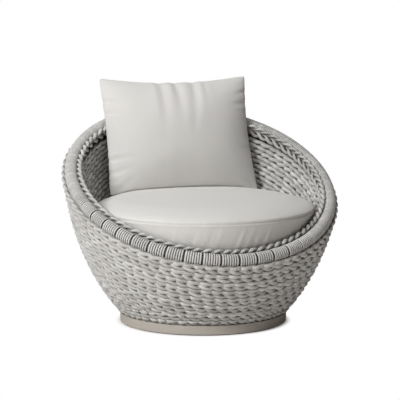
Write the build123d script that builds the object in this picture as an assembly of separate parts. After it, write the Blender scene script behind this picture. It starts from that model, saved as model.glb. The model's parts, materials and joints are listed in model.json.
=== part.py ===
from build123d import *
import os
from math import asin, atan2, cos, degrees, hypot, pi, radians, sin, sqrt, tan

os.makedirs("parts", exist_ok=True)

# Swivel lounge chair: a rope-woven bowl that turns on a low round plinth, with a loose
# round seat cushion and a loose back pillow. Millimetres, +Z up, front toward -Y.
# The origin is on the floor, on the swivel axis.

# Floor pad, ballast plate and plinth
PAD_THICKNESS = 3.0
PAD_SETBACK = 8.0
PLATE_THICKNESS = 8.0
PLINTH_RADIUS = 300.0
PLINTH_WALL = 3.0
PLINTH_FLANGE_WIDTH = 30.0
PLINTH_LIP_WIDTH = 14.0
PLINTH_SCREW_COUNT = 8

# Ball bearing of the swivel
RACE_THICKNESS = 6.0
RACE_WIDTH = 70.0
BALL_TRACK_RADIUS = 180.0
BALL_RADIUS = 5.0
BALL_COUNT = 24
RACE_GAP = 4.0
CAGE_THICKNESS = 2.4
CAGE_WIDTH = 22.0
RACE_BOLT_RADIUS = 3.0
RACE_BOLT_COUNT = 6
RACE_BOLT_GRIP = 4.0

# King pin through the hub
PIN_RADIUS = 10.0
PIN_HEAD_RADIUS = 22.0
PIN_HEAD_THICKNESS = 4.0
BUSH_WALL = 4.0
BUSH_FLANGE_WIDTH = 5.0
BUSH_FLANGE_THICKNESS = 2.0
BOSS_WALL = 9.0
BOSS_HEIGHT = 28.0
PIN_WASHER_WIDTH = 9.0
PIN_WASHER_THICKNESS = 3.0
PIN_NUT_FLATS = 30.0
PIN_NUT_HEIGHT = 16.0
PIN_THREAD_STANDOUT = 4.0

# Floor of the turning frame
HUB_THICKNESS = 6.0
HUB_MARGIN = 6.0
SPOKE_COUNT = 6
SPOKE_WIDTH = 40.0
SPOKE_HEIGHT = 20.0
SPOKE_WALL = 2.0
FLOOR_RING_RADIUS = 12.5
PLINTH_GAP = 2.0

# Bowl: an upright spheroid cut off level at the foot and by a tilted plane at the rim
BOWL_RADIUS = 509.0
BOWL_HALF_HEIGHT = 757.0
BOWL_FOOT_Z = 37.0
BOWL_FOOT_STEP = 0.4
RIM_HEIGHT_ON_AXIS = 481.0
RIM_TILT = 25.5
WEAVE_THICKNESS = 21.5
RIB_COUNT = 12
RIB_RADIUS = 8.0
RIB_FIRST_ANGLE = 15.0
TUBE_WALL = 2.0

# Rope-bound rim
RIM_TUBE_RADIUS = 16.0
RIM_WRAP_THICKNESS = 6.5
WRAP_BLOCK_COUNT = 48
WRAP_BLOCK_GAP = 4.5
BRAID_RADIUS = 10.0
BRAID_RISE = 11.0
WEAVE_TOP_GAP = 1.5
OUTER_BRAID_RADIUS = 7.0

# Seat platform
SEAT_DROP = 6.7
SLAT_COUNT = 7
SLAT_WIDTH = 60.0
SLAT_THICKNESS = 8.0
SEAT_RING_SIDE = 20.0
INNER_WEAVE_START = 2.0
INNER_WEAVE_FRONT = 80.0

# Loose seat cushion
CUSHION_BOXING = 130.8
CUSHION_WALL_GAP = 18.0
CUSHION_CROWN = 52.0
CUSHION_TOP_RADIUS = 280.0
CUSHION_TOP_DROP = 11.0
CUSHION_BRAID_GAP = 3.0
CUSHION_SIDE_DRAW = 4.0
COVER_THICKNESS = 2.0
ZIP_WIDTH = 12.0
ZIP_SPAN = 110.0

# Loose back pillow
PILLOW_WIDTH = 568.0
PILLOW_HEIGHT = 452.0
PILLOW_THICKNESS = 172.0
PILLOW_EDGE = 7.0
PILLOW_SIDE_DRAW = 14.0
PILLOW_LEAN = 18.0
PILLOW_SINK = 35.0

# Clearances
SOFT_GAP = 0.4
RIB_GAP = 0.5
RING_GAP = 0.4
BOLT_GAP = 0.2
BALL_GAP = 0.12
BUSH_GAP = 0.05
WASHER_GAP = 0.2
PILLOW_REST_GAP = 0.5
PLATE_GAP = 0.3

# Heights that follow from the stack of pieces on the axis
PLATE_TOP = PAD_THICKNESS + PLATE_THICKNESS
LOWER_RACE_TOP = PLATE_TOP + RACE_THICKNESS
UPPER_RACE_FOOT = LOWER_RACE_TOP + RACE_GAP
UPPER_RACE_TOP = UPPER_RACE_FOOT + RACE_THICKNESS
HUB_TOP = UPPER_RACE_TOP + HUB_THICKNESS
PLINTH_TOP = BOWL_FOOT_Z - PLINTH_GAP
BOWL_FOOT_RADIUS = PLINTH_RADIUS - BOWL_FOOT_STEP
BOWL_CENTRE_Z = BOWL_FOOT_Z + BOWL_HALF_HEIGHT * sqrt(1 - (BOWL_FOOT_RADIUS / BOWL_RADIUS) ** 2)
BALL_Z = (LOWER_RACE_TOP + UPPER_RACE_FOOT) / 2
SPOKE_MID_Z = HUB_TOP + SPOKE_HEIGHT / 2
BOSS_TOP = HUB_TOP + BOSS_HEIGHT
BUSH_TOP = BOSS_TOP + BUSH_FLANGE_THICKNESS
WASHER_FOOT = BUSH_TOP + WASHER_GAP
NUT_FOOT = WASHER_FOOT + PIN_WASHER_THICKNESS
PIN_TOP = NUT_FOOT + PIN_NUT_HEIGHT + PIN_THREAD_STANDOUT

# Radii that follow
RACE_INNER = BALL_TRACK_RADIUS - RACE_WIDTH / 2
RACE_OUTER = BALL_TRACK_RADIUS + RACE_WIDTH / 2
LOWER_BOLT_CIRCLE = (RACE_INNER + BALL_TRACK_RADIUS - CAGE_WIDTH / 2) / 2
UPPER_BOLT_CIRCLE = (RACE_OUTER + BALL_TRACK_RADIUS + CAGE_WIDTH / 2) / 2
HUB_RADIUS = RACE_OUTER + HUB_MARGIN
BUSH_OUTER = PIN_RADIUS + BUSH_GAP + BUSH_WALL
BOSS_OUTER = BUSH_OUTER + BOSS_WALL
RIM_WRAP_RADIUS = RIM_TUBE_RADIUS + RIM_WRAP_THICKNESS
WEAVE_TOP_DROP = RIM_WRAP_RADIUS + WEAVE_TOP_GAP

# Depths below the bowl's outer face
RIM_INSET = WEAVE_THICKNESS + RIB_GAP + RIB_RADIUS
FLOOR_RING_INSET = WEAVE_THICKNESS + RING_GAP + FLOOR_RING_RADIUS
INNER_WEAVE_BACK = RIM_INSET + RIB_RADIUS + RIB_GAP
INNER_WEAVE_FACE = INNER_WEAVE_BACK + WEAVE_THICKNESS


def half_axes(inset):
    """Half width and half height of the spheroid that lies this deep inside the bowl."""
    return BOWL_RADIUS - inset, BOWL_HALF_HEIGHT - inset


def bowl_radius(inset, z):
    """Radius of that spheroid at a height."""
    across, up = half_axes(inset)
    return across * sqrt(1 - ((z - BOWL_CENTRE_Z) / up) ** 2)


def side_slope(inset, z):
    """Radial share of the spheroid's outward normal at a height."""
    across, up = half_axes(inset)
    radial = bowl_radius(inset, z) / across ** 2
    axial = (z - BOWL_CENTRE_Z) / up ** 2
    return radial / hypot(radial, axial)


def meridian(inset, foot, top):
    """Elliptic arc of the bowl's profile at a depth, between two heights."""
    across, up = half_axes(inset)
    plane = Plane(origin=(0, 0, BOWL_CENTRE_Z), x_dir=(1, 0, 0), z_dir=(0, -1, 0))
    first = degrees(asin((foot - BOWL_CENTRE_Z) / up))
    last = degrees(asin((top - BOWL_CENTRE_Z) / up))
    return Edge.make_ellipse(across, up, plane, first, last)


def woven_shell(outer, inner, foot, top):
    """Wall between two depths of the bowl, turned about the swivel axis."""
    face_arc = meridian(outer, foot, top)
    back_arc = meridian(inner, foot, top)
    ends = [Edge.make_line(face_arc @ 1, back_arc @ 1), Edge.make_line(back_arc @ 0, face_arc @ 0)]
    return revolve(Face(Wire([face_arc, ends[0], back_arc, ends[1]])), Axis.Z)


def rim_plane(drop):
    """Plane of the rim, lowered along its own normal."""
    normal = Vector(0, -sin(radians(RIM_TILT)), cos(radians(RIM_TILT)))
    origin = Vector(0, 0, RIM_HEIGHT_ON_AXIS) - normal * drop
    return Plane(origin=origin, x_dir=(1, 0, 0), z_dir=normal)


def rim_section(inset, drop):
    """Centre plane, half width and half length of the ellipse that the rim plane cuts."""
    across, up = half_axes(inset)
    tilt = radians(RIM_TILT)
    height = RIM_HEIGHT_ON_AXIS - drop / cos(tilt) - BOWL_CENTRE_Z
    bend = (cos(tilt) / across) ** 2 + (sin(tilt) / up) ** 2
    slide = -height * sin(tilt) / (up ** 2 * bend)
    scale = 1 - (height / up) ** 2 + bend * slide ** 2
    centre = (0, slide * cos(tilt), height + BOWL_CENTRE_Z + slide * sin(tilt))
    plane = Plane(origin=centre, x_dir=(1, 0, 0), z_dir=rim_plane(0).z_dir)
    return plane, across * sqrt(scale), sqrt(scale / bend)


def hoop(section, radius, inner=0.0):
    """Closed round bar or tube along an ellipse."""
    plane, half_width, half_length = section
    path = Edge.make_ellipse(half_width, half_length, plane)
    start = Plane(origin=path @ 0, z_dir=path % 0)
    bar = sweep(start * Circle(radius), path=path)
    if inner:
        bar = bar - sweep(start * Circle(inner), path=path)
    return bar


def ring(inner, outer, foot, top):
    """Flat washer-shaped piece about the swivel axis."""
    return Pos(0, 0, foot) * extrude(Circle(outer) - Circle(inner), top - foot)


def disc(radius, foot, top):
    return Pos(0, 0, foot) * extrude(Circle(radius), top - foot)


def around(count, radius, first=0.0):
    """Places at equal angles on a circle about the swivel axis."""
    return [Rot(0, 0, first + 360 * k / count) * Pos(radius, 0, 0) for k in range(count)]


def flat_head(radius, head_radius, foot, top):
    """Screw with a flat conical head whose face is at the top."""
    depth = head_radius - radius
    shank = disc(radius, foot, top)
    head = Pos(0, 0, top - depth / 2) * Cone(radius, head_radius, depth)
    return shank + head


def keep(name, shape):
    """Write one sub-part, as one compound of its separate solids."""
    solids = shape.solids()
    print(name, len(solids), all(s.is_valid for s in solids))
    export_step(solids[0] if len(solids) == 1 else Compound(children=solids), "parts/" + name + ".step")


# Base: pad, ballast plate, plinth
plate_radius = PLINTH_RADIUS - PLINTH_WALL - PLATE_GAP
screw_radius = 2.5
screw_head = 5.0
screw_circle = PLINTH_RADIUS - PLINTH_WALL - PLINTH_FLANGE_WIDTH / 2
screw_depth = 5.0
screw_places = around(PLINTH_SCREW_COUNT, screw_circle)
lower_bolt_places = around(RACE_BOLT_COUNT, LOWER_BOLT_CIRCLE)
upper_bolt_places = around(RACE_BOLT_COUNT, UPPER_BOLT_CIRCLE)
flange_top = PLATE_TOP + PLINTH_WALL
keep("floor_pad", disc(PLINTH_RADIUS - PAD_SETBACK, 0, PAD_THICKNESS))

plate = disc(plate_radius, PAD_THICKNESS, PLATE_TOP)
plate -= disc(PIN_HEAD_RADIUS + PLATE_GAP, PAD_THICKNESS, PAD_THICKNESS + PIN_HEAD_THICKNESS)
plate -= disc(PIN_RADIUS, PAD_THICKNESS, PLATE_TOP)
for place in screw_places:
    plate -= place * disc(screw_radius, flange_top - PLINTH_WALL - screw_depth, PLATE_TOP)
for place in lower_bolt_places:
    plate -= place * disc(RACE_BOLT_RADIUS, PLATE_TOP - RACE_BOLT_GRIP, PLATE_TOP)
keep("base_plate", plate)

plinth = ring(PLINTH_RADIUS - PLINTH_WALL, PLINTH_RADIUS, PAD_THICKNESS, PLINTH_TOP)
plinth = fillet(plinth.edges().group_by(Axis.Z)[0].sort_by(SortBy.LENGTH)[-1:], PLINTH_WALL / 2)
flange_inner = PLINTH_RADIUS - PLINTH_WALL - PLINTH_FLANGE_WIDTH
plinth += ring(flange_inner, PLINTH_RADIUS - PLINTH_WALL, PLATE_TOP, flange_top)
lip_inner = PLINTH_RADIUS - PLINTH_WALL - PLINTH_LIP_WIDTH
plinth += ring(lip_inner, PLINTH_RADIUS - PLINTH_WALL, PLINTH_TOP - PLINTH_WALL, PLINTH_TOP)
screw_hole = flat_head(screw_radius + BOLT_GAP, screw_head + BOLT_GAP, PLATE_TOP, flange_top)
for place in screw_places:
    plinth -= place * screw_hole
keep("base_plinth", plinth)

screw = flat_head(screw_radius, screw_head, PLATE_TOP - screw_depth, flange_top)
keep("plinth_screws", Compound(children=[place * screw for place in screw_places]))

# Swivel bearing: two grooved races, caged balls, countersunk bolts
groove = Pos(0, 0, BALL_Z) * Torus(BALL_TRACK_RADIUS, BALL_RADIUS + BALL_GAP)
bolt_head = 2 * RACE_BOLT_RADIUS
lower_race = ring(RACE_INNER, RACE_OUTER, PLATE_TOP, LOWER_RACE_TOP) - groove
lower_bolt = flat_head(RACE_BOLT_RADIUS, bolt_head, PLATE_TOP - RACE_BOLT_GRIP, LOWER_RACE_TOP)
lower_hole = flat_head(RACE_BOLT_RADIUS + BOLT_GAP, bolt_head + BOLT_GAP, PLATE_TOP, LOWER_RACE_TOP)
for place in lower_bolt_places:
    lower_race -= place * lower_hole
keep("bearing_lower_race", lower_race)
keep("lower_race_bolts", Compound(children=[place * lower_bolt for place in lower_bolt_places]))

upper_race = ring(RACE_INNER, RACE_OUTER, UPPER_RACE_FOOT, UPPER_RACE_TOP) - groove
turn_over = Pos(0, 0, UPPER_RACE_FOOT) * Rot(180, 0, 0)
upper_bolt = turn_over * flat_head(RACE_BOLT_RADIUS, bolt_head, -RACE_THICKNESS - RACE_BOLT_GRIP, 0)
upper_hole = turn_over * flat_head(RACE_BOLT_RADIUS + BOLT_GAP, bolt_head + BOLT_GAP, -RACE_THICKNESS, 0)
for place in upper_bolt_places:
    upper_race -= place * upper_hole
keep("bearing_upper_race", upper_race)
keep("upper_race_bolts", Compound(children=[place * upper_bolt for place in upper_bolt_places]))

ball_places = [Pos(0, 0, BALL_Z) * place for place in around(BALL_COUNT, BALL_TRACK_RADIUS)]
cage_inner = BALL_TRACK_RADIUS - CAGE_WIDTH / 2
cage_outer = BALL_TRACK_RADIUS + CAGE_WIDTH / 2
cage = ring(cage_inner, cage_outer, BALL_Z - CAGE_THICKNESS / 2, BALL_Z + CAGE_THICKNESS / 2)
for place in ball_places:
    cage -= place * Cylinder(BALL_RADIUS + BALL_GAP, 2 * CAGE_THICKNESS)
keep("ball_cage", cage)
keep("bearing_balls", Compound(children=[place * Sphere(BALL_RADIUS) for place in ball_places]))

# King pin, bush, washer and nut
pin = disc(PIN_RADIUS, PAD_THICKNESS, PIN_TOP)
pin += disc(PIN_HEAD_RADIUS, PAD_THICKNESS, PAD_THICKNESS + PIN_HEAD_THICKNESS)
keep("king_pin", pin)
bush = ring(PIN_RADIUS + BUSH_GAP, BUSH_OUTER, UPPER_RACE_TOP, BOSS_TOP)
bush += ring(PIN_RADIUS + BUSH_GAP, BUSH_OUTER + BUSH_FLANGE_WIDTH, BOSS_TOP, BUSH_TOP)
keep("pivot_bush", bush)
keep("pivot_washer", ring(PIN_RADIUS, PIN_RADIUS + PIN_WASHER_WIDTH, WASHER_FOOT, NUT_FOOT))
nut_sketch = RegularPolygon(PIN_NUT_FLATS / 2, 6, major_radius=False) - Circle(PIN_RADIUS)
keep("pivot_nut", Pos(0, 0, NUT_FOOT) * extrude(nut_sketch, PIN_NUT_HEIGHT))

# Floor of the turning frame: hub plate with its boss, spokes, floor ring
hub = ring(BUSH_OUTER, HUB_RADIUS, UPPER_RACE_TOP, HUB_TOP)
hub += ring(BUSH_OUTER, BOSS_OUTER, HUB_TOP, BOSS_TOP)
for place in upper_bolt_places:
    hub -= place * disc(RACE_BOLT_RADIUS, UPPER_RACE_TOP, UPPER_RACE_TOP + RACE_BOLT_GRIP)
keep("hub_plate", hub)

floor_ring_centre = bowl_radius(FLOOR_RING_INSET, SPOKE_MID_Z)
floor_ring_solid = Pos(0, 0, SPOKE_MID_Z) * Torus(floor_ring_centre, FLOOR_RING_RADIUS)
floor_ring_bore = Pos(0, 0, SPOKE_MID_Z) * Torus(floor_ring_centre, FLOOR_RING_RADIUS - TUBE_WALL)
keep("floor_ring", floor_ring_solid - floor_ring_bore)

spoke_start = max(BOSS_OUTER, SPOKE_WIDTH / 2 / tan(pi / SPOKE_COUNT)) + PLATE_GAP
spoke_length = floor_ring_centre - spoke_start
spoke_at = Pos(spoke_start + spoke_length / 2, 0, SPOKE_MID_Z)
spoke = spoke_at * Box(spoke_length, SPOKE_WIDTH, SPOKE_HEIGHT)
spoke -= spoke_at * Box(2 * spoke_length, SPOKE_WIDTH - 2 * SPOKE_WALL, SPOKE_HEIGHT - 2 * SPOKE_WALL)
spoke -= floor_ring_solid
for k in range(SPOKE_COUNT):
    keep("floor_spoke_%d" % (k + 1), Rot(0, 0, 360 * k / SPOKE_COUNT) * spoke)

# Tilted rim tube and the bent ribs that carry it
rim_centre = rim_section(RIM_INSET, 0)
rim_solid = hoop(rim_centre, RIM_TUBE_RADIUS)
keep("rim_tube", rim_solid - hoop(rim_centre, RIM_TUBE_RADIUS - TUBE_WALL))


def rib_path(angle):
    """Meridian of the frame's spheroid, from the floor ring up to the rim."""
    across, up = half_axes(RIM_INSET)
    turn = radians(angle)
    outward, sideways = (cos(turn), sin(turn), 0), (sin(turn), -cos(turn), 0)
    plane = Plane(origin=(0, 0, BOWL_CENTRE_Z), x_dir=outward, z_dir=sideways)
    lean = across * tan(radians(RIM_TILT)) * sin(turn)
    reach = asin((RIM_HEIGHT_ON_AXIS - BOWL_CENTRE_Z) / hypot(up, lean)) + atan2(lean, up)
    start = asin((SPOKE_MID_Z - BOWL_CENTRE_Z) / up)
    return Edge.make_ellipse(across, up, plane, degrees(start), degrees(reach))


def rib_bar(angle, radius):
    path = rib_path(angle)
    return sweep(Plane(origin=path @ 0, z_dir=path % 0) * Circle(radius), path=path)


rib_angles = [RIB_FIRST_ANGLE + 360 * k / RIB_COUNT for k in range(RIB_COUNT)]
for k, angle in enumerate(rib_angles):
    keep("frame_rib_%02d" % (k + 1), rib_bar(angle, RIB_RADIUS) - floor_ring_solid - rim_solid)

# Rope binding of the rim in equal blocks with a small gap between them
wrap_plane, wrap_width, wrap_length = rim_centre
STEPS = 3600
walk = [0.0]
for k in range(STEPS):
    t = 2 * pi * (k + 0.5) / STEPS
    walk.append(walk[-1] + hypot(wrap_width * sin(t), wrap_length * cos(t)) * 2 * pi / STEPS)


def angle_at(length):
    """Ellipse angle, in degrees, at a length along the rim."""
    low = max(k for k in range(STEPS + 1) if walk[k] <= length % walk[-1])
    share = (length % walk[-1] - walk[low]) / (walk[min(low + 1, STEPS)] - walk[low] or 1)
    return 360 * (low + share) / STEPS


wrap_pitch = walk[-1] / WRAP_BLOCK_COUNT
rib_notches = [rib_bar(angle, RIB_RADIUS + SOFT_GAP) for angle in rib_angles]
blocks = []
for k in range(WRAP_BLOCK_COUNT):
    first = angle_at(k * wrap_pitch + WRAP_BLOCK_GAP / 2)
    last = angle_at((k + 1) * wrap_pitch - WRAP_BLOCK_GAP / 2)
    path = Edge.make_ellipse(wrap_width, wrap_length, wrap_plane, first, last)
    start = Plane(origin=path @ 0, z_dir=path % 0)
    block = sweep(start * (Circle(RIM_WRAP_RADIUS) - Circle(RIM_TUBE_RADIUS + SOFT_GAP)), path=path)
    box = block.bounding_box()
    for notch in rib_notches:
        if box.overlaps(notch.bounding_box()):
            block = block - notch
    blocks.append(block)
keep("rim_wrap", Compound(children=[s for block in blocks for s in block.solids()]))

# Rope braids along the inner and the outer edge of the binding
plane, half_width, half_length = rim_centre


def beside_rim(step, rise):
    """Ellipse that runs beside the rim, this much wider all round and this much higher."""
    return plane.offset(rise), half_width + step, half_length + step


braid_step = sqrt((RIM_WRAP_RADIUS + BRAID_RADIUS + SOFT_GAP) ** 2 - BRAID_RISE ** 2)
braid_section = beside_rim(-braid_step, BRAID_RISE)
inner_braid = hoop(braid_section, BRAID_RADIUS)
keep("rim_inner_braid", inner_braid)
outer_drop = WEAVE_TOP_DROP - OUTER_BRAID_RADIUS - SOFT_GAP
outer_step = sqrt((RIM_WRAP_RADIUS + OUTER_BRAID_RADIUS + SOFT_GAP) ** 2 - outer_drop ** 2)
keep("rim_outer_braid", hoop(beside_rim(outer_step, -outer_drop), OUTER_BRAID_RADIUS))

# Woven outer wall and woven inner wall, both cut off below the tilted rim
HALF_SPACE = 3 * BOWL_RADIUS
rim_top = rim_centre[0].origin.Z + half_length * sin(radians(RIM_TILT))
seat_top = rim_centre[0].origin.Z - half_length * sin(radians(RIM_TILT)) - SEAT_DROP


def below_rim(drop):
    """Everything below the rim plane lowered by this much."""
    return rim_plane(drop) * Pos(0, 0, -HALF_SPACE / 2) * Box(2 * HALF_SPACE, 2 * HALF_SPACE, HALF_SPACE)


weave_room = below_rim(WEAVE_TOP_DROP)
keep("outer_weave", woven_shell(0, WEAVE_THICKNESS, BOWL_FOOT_Z, rim_top) & weave_room)

inner_foot = seat_top + INNER_WEAVE_START
inner_front = INNER_WEAVE_FRONT - bowl_radius(INNER_WEAVE_BACK, seat_top)
behind_front = Box(2 * HALF_SPACE, HALF_SPACE, HALF_SPACE)
behind_front = Pos(0, inner_front + HALF_SPACE / 2, BOWL_CENTRE_Z) * behind_front
inner_weave = woven_shell(INNER_WEAVE_BACK, INNER_WEAVE_FACE, inner_foot, rim_top) & weave_room
keep("inner_weave", inner_weave & behind_front)

# Seat platform: square hoop inside the ribs and slats across it
slat_foot = seat_top - SLAT_THICKNESS
ring_foot = slat_foot - SEAT_RING_SIDE
rib_inside = bowl_radius(RIM_INSET, ring_foot) - RIB_RADIUS / side_slope(RIM_INSET, ring_foot)
seat_ring_outer = rib_inside - RING_GAP
seat_ring_inner = seat_ring_outer - SEAT_RING_SIDE
seat_ring = ring(seat_ring_inner, seat_ring_outer, ring_foot, slat_foot)
seat_ring -= ring(
    seat_ring_inner + TUBE_WALL, seat_ring_outer - TUBE_WALL, ring_foot + TUBE_WALL, slat_foot - TUBE_WALL
)
keep("seat_ring", seat_ring)
slat_pitch = 2 * seat_ring_inner / SLAT_COUNT
for k in range(SLAT_COUNT):
    offset = (k - (SLAT_COUNT - 1) / 2) * slat_pitch
    far_edge = abs(offset) + SLAT_WIDTH / 2
    half = sqrt(seat_ring_outer ** 2 - far_edge ** 2)
    slat = Pos(0, offset, slat_foot + SLAT_THICKNESS / 2) * Box(2 * half, SLAT_WIDTH, SLAT_THICKNESS)
    keep("seat_slat_%d" % (k + 1), slat)

# Seat cushion: flat foot, drawn-in boxing, full crown, with cover, foam core and zip
cushion_foot = seat_top + SOFT_GAP
seam_z = cushion_foot + CUSHION_BOXING
seam_radius = bowl_radius(INNER_WEAVE_FACE, seam_z) - CUSHION_WALL_GAP
crown_top = seam_z + CUSHION_CROWN

# The boxing leans in from the seam so that it clears the braid at the front
braid_front = braid_section[0].origin - braid_section[0].y_dir * braid_section[2]
run, fall = seam_radius + braid_front.Y, seam_z - braid_front.Z
braid_room = BRAID_RADIUS + CUSHION_BRAID_GAP + CUSHION_SIDE_DRAW
foot_draw = CUSHION_BOXING * tan(atan2(run, fall) + asin(braid_room / hypot(run, fall)))


def cushion(skin):
    """Round cushion, this much smaller all over."""
    foot = cushion_foot + skin
    lift = crown_top - skin
    seam = (seam_radius - skin, seam_z - skin)
    base = (seam_radius - foot_draw - skin, foot)
    waist = ((seam[0] + base[0]) / 2 + CUSHION_SIDE_DRAW, (seam[1] + base[1]) / 2)
    top_bow = (CUSHION_TOP_RADIUS ** 2 + CUSHION_TOP_DROP ** 2) / (2 * CUSHION_TOP_DROP)
    half = CUSHION_TOP_RADIUS / 2
    mid_top = (half, lift - top_bow + sqrt(top_bow ** 2 - half ** 2))
    shoulder = (CUSHION_TOP_RADIUS, lift - CUSHION_TOP_DROP)
    down = (top_bow - CUSHION_TOP_DROP, -CUSHION_TOP_RADIUS)
    edge = Line((0, foot), base)
    edge += ThreePointArc(base, waist, seam)
    edge += TangentArc(shoulder, seam, tangent=down)
    edge += ThreePointArc(shoulder, mid_top, (0, lift))
    edge += Line((0, lift), (0, foot))
    return revolve(Plane.XZ * make_face(edge), Axis.Z)


zip_z = (cushion_foot + seam_z) / 2
zip_band = ring(seam_radius - 2 * foot_draw, seam_radius + foot_draw, zip_z, zip_z + ZIP_WIDTH)
zip_half = radians(ZIP_SPAN / 2)
zip_reach = 2 * seam_radius
zip_wedge = Polyline(
    (0, 0), (zip_reach * sin(zip_half), zip_reach * cos(zip_half)),
    (0, 2 * zip_reach), (-zip_reach * sin(zip_half), zip_reach * cos(zip_half)), close=True,
)
zip_band &= Pos(0, 0, zip_z - ZIP_WIDTH) * extrude(make_face(zip_wedge), 3 * ZIP_WIDTH)
cover = cushion(0) - cushion(COVER_THICKNESS)
keep("seat_cushion_zip", zip_band & cover)
keep("seat_cushion_cover", cover - zip_band)
keep("seat_cushion_core", cushion(COVER_THICKNESS + SOFT_GAP))

# Back pillow: knife-edged, crowned, narrower at mid height, leaning on the rim
PILLOW_STATIONS = (0.0, 0.04, 0.13, 0.28, 0.5, 0.72, 0.87, 0.96, 1.0)


def pillow_half(share, skin):
    """Half width, half thickness at a share of the height."""
    reach = abs(2 * share - 1)
    swell = (1 - reach ** 2.2) ** 0.62
    edge = PILLOW_EDGE / 2 - skin
    width = PILLOW_WIDTH / 2 - PILLOW_SIDE_DRAW * (1 - reach ** 2) - skin
    return width, edge + (PILLOW_THICKNESS / 2 - PILLOW_EDGE / 2) * swell


def pillow(skin, setback):
    """Leaning pillow, this much smaller all over, its foot edge at a distance behind the axis."""
    height = PILLOW_HEIGHT - 2 * skin
    lean = Pos(0, setback, crown_top - PILLOW_SINK) * Rot(-PILLOW_LEAN, 0, 0)
    edge = PILLOW_EDGE / 2 - skin
    faces = []
    for share in PILLOW_STATIONS:
        width, crown = pillow_half(share, skin)
        crown = max(crown, 1.02 * edge)
        outline = ThreePointArc((-width, -edge), (0, -crown), (width, -edge))
        outline += Line((width, -edge), (width, edge))
        outline += ThreePointArc((width, edge), (0, crown), (-width, edge))
        outline += Line((-width, edge), (-width, -edge))
        faces.append(lean * Pos(0, 0, skin + share * height) * make_face(outline))
    return loft(faces)


# The pillow is pushed back, by the room that is left, until it rests on the braid
pillow_place = 0.0
room = pillow(0, pillow_place).distance_to(inner_braid)
while room > 1.2 * PILLOW_REST_GAP:
    pillow_place += room - PILLOW_REST_GAP
    room = pillow(0, pillow_place).distance_to(inner_braid)
print("pillow foot behind the axis", round(pillow_place, 1), "room", round(room, 2))


def seat_press(gap):
    """The cushion, grown by a gap, that shapes the pillow's foot."""
    return cushion(-gap)


pillow_outer = pillow(0, pillow_place) - seat_press(SOFT_GAP)
pillow_lining = pillow(COVER_THICKNESS, pillow_place) - seat_press(SOFT_GAP + COVER_THICKNESS)
pillow_fill = pillow(COVER_THICKNESS + SOFT_GAP, pillow_place) - seat_press(2 * SOFT_GAP + COVER_THICKNESS)
keep("back_pillow_cover", pillow_outer - pillow_lining)
keep("back_pillow_filling", pillow_fill)
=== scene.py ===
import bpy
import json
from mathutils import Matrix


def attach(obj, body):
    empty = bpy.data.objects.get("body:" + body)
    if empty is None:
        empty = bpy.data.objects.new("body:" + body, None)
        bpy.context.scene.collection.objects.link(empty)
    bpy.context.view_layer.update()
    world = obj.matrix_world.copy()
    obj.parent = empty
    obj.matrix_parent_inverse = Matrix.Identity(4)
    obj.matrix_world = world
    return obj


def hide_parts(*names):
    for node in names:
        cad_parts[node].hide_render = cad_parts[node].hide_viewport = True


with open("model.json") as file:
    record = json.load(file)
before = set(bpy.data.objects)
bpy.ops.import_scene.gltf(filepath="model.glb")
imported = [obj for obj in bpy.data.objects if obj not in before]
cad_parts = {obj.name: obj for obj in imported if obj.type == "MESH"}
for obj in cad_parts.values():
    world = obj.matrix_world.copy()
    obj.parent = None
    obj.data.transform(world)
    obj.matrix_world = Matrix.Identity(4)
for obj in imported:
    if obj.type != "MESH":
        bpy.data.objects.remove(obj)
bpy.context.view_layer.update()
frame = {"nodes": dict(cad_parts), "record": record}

import json
import math

import bmesh
import bpy
import numpy as np
from bpy.props import FloatProperty, FloatVectorProperty, IntProperty, PointerProperty
from bpy.types import Operator, Panel, PropertyGroup
from mathutils import Vector

bl_info = {
    "name": "Rope Bowl Swivel Chair",
    "version": (1, 0, 0),
    "blender": (4, 5, 0),
    "location": "View3D > Sidebar > Chair",
    "description": "Dresses the swivel lounge chair: rope walls, bound rim, cushions, finishes and stage",
    "category": "Object",
}


def length(label, words, default):
    return FloatProperty(name=label, description=words, default=default, unit="LENGTH", precision=5)


def degrees(label, words, default):
    return FloatProperty(name=label, description=words, default=math.radians(default), unit="ROTATION")


def whole(label, words, default):
    return IntProperty(name=label, description=words, default=default)


def colour(label, words, default):
    return FloatVectorProperty(
        name=label, description=words, default=default, size=3, subtype="COLOR", min=0.0, max=1.0
    )


class CHAIR_PG_bowl(PropertyGroup):
    """Shape of the bowl and of its rim."""

    radius: length("Bowl radius", "Half width of the bowl's spheroid", 0.509)
    half_height: length("Half height", "Half height of the bowl's spheroid", 0.757)
    centre: length("Centre height", "Height of the spheroid's centre", 0.64897)
    foot: length("Foot height", "Height of the bowl's lower edge", 0.037)
    rim_height: length("Rim height", "Height of the rim plane on the swivel axis", 0.481)
    rim_tilt: degrees("Rim tilt", "Slope of the rim from front to back", 25.5)
    rim_inset: length("Rim inset", "Depth of the rim tube's centre inside the bowl", 0.030)
    wrap_radius: length("Bound rim", "Radius of the rim with its rope binding", 0.0225)
    wall: length("Woven wall", "Thickness of one woven wall", 0.0215)
    inner_back: length("Inner wall", "Depth of the inner wall's back", 0.0385)
    seat_top: length("Seat height", "Height of the slats", 0.2768)


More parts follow.
